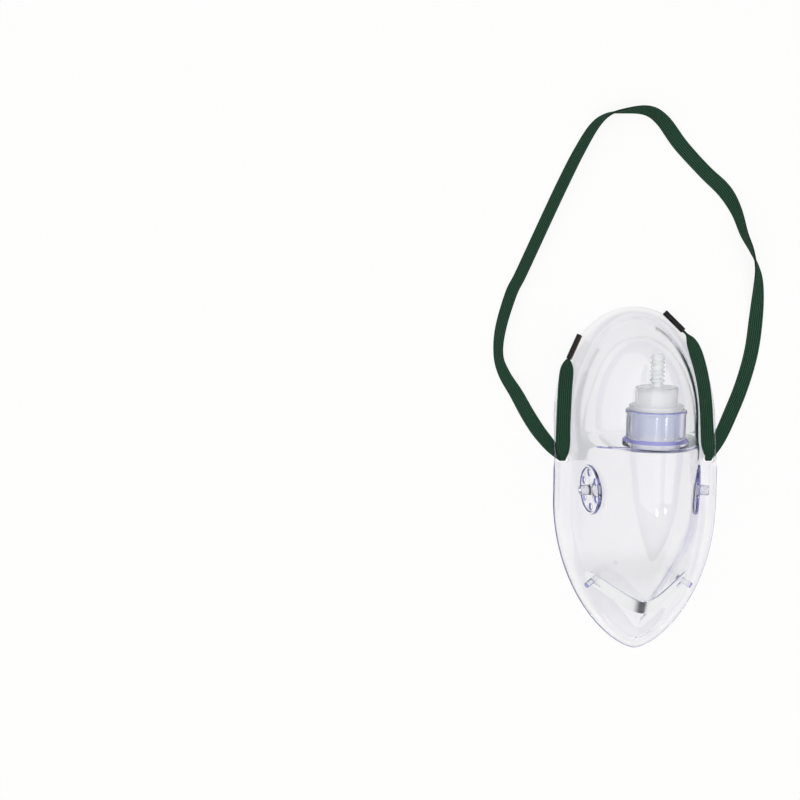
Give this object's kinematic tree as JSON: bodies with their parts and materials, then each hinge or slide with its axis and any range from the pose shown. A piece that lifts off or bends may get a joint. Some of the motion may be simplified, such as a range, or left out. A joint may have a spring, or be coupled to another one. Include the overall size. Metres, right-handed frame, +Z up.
{
  "type": "oxygen face mask",
  "caption": "Clear oxygen face mask with a swivelling tubing connector, exhalation discs, an aluminium nose clip and an elastic head strap.",
  "frame": {"origin": "at the nose end of the rim, on the plane that the rim rests on", "axes": "+Z up, away from the face; +Y from the nose end to the chin end; x = 0 is the mask's plane of symmetry"},
  "size_m": [0.122, 0.242, 0.0567],
  "materials": {
    "clear_pvc": "clear soft gloss moulding",
    "translucent_polypropylene": "translucent satin moulding",
    "aluminium_strip": "satin rolled strip",
    "green_elastic": "ribbed knitted elastic",
    "crimped_steel": "dark lacquered"
  },
  "bodies": {
    "mask": {"face_shell": "clear_pvc", "nose_clip": "aluminium_strip", "elastic_strap": "green_elastic", "strap_tip_left": "crimped_steel", "strap_tip_right": "crimped_steel"},
    "connector": {"tubing_connector": "translucent_polypropylene"}
  },
  "joints": [
    {"name": "connector_swivel", "type": "hinge", "parent": "mask", "child": "connector", "pos_m": [0, 0.09375, 0.04267], "axis": [0, 0.9903, 0.1392], "continuous": true}
  ]
}
